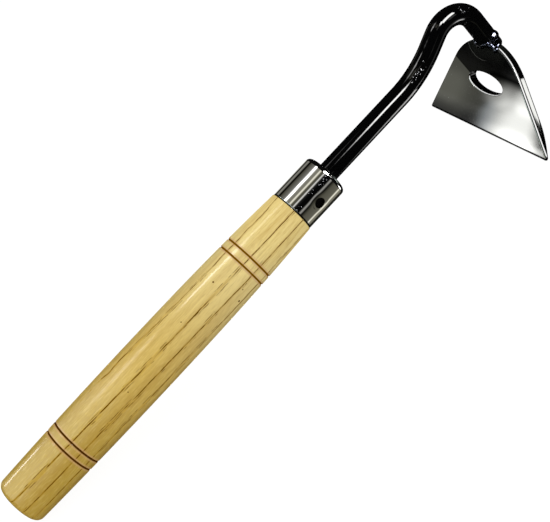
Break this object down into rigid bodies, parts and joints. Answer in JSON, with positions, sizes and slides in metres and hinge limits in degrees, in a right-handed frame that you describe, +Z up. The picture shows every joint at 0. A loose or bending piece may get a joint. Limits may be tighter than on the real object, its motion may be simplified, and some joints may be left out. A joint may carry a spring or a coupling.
{
  "type": "hand hoe",
  "caption": "Hand hoe with a turned wooden grip, a plated ferrule, a black bent bar neck and a polished triangular blade pierced by an oval hole.",
  "frame": {"origin": "on the floor under the middle of the tool's length, as it stands on the butt of the grip and on the cutting edge", "axes": "+X from the butt end towards the blade, +Z up, the handle axis and the neck's bends in the XZ plane"},
  "size_m": [0.3406, 0.0972, 0.079],
  "materials": {
    "honey_wood": "pale straight-grained wood under clear gloss lacquer",
    "bright_plate": "bright plated, mirror smooth",
    "dark_pin": "darkened steel in a shadowed hole",
    "black_gloss": "black gloss enamel",
    "polished_steel": "finely polished, with faint grinding lines",
    "weld_metal": "lumpy bead under black gloss enamel"
  },
  "bodies": {
    "root": {"handle": "honey_wood", "ferrule": "bright_plate", "cross_pin": "dark_pin", "neck": "black_gloss", "blade": "polished_steel", "weld_bead": "weld_metal"}
  },
  "joints": []
}
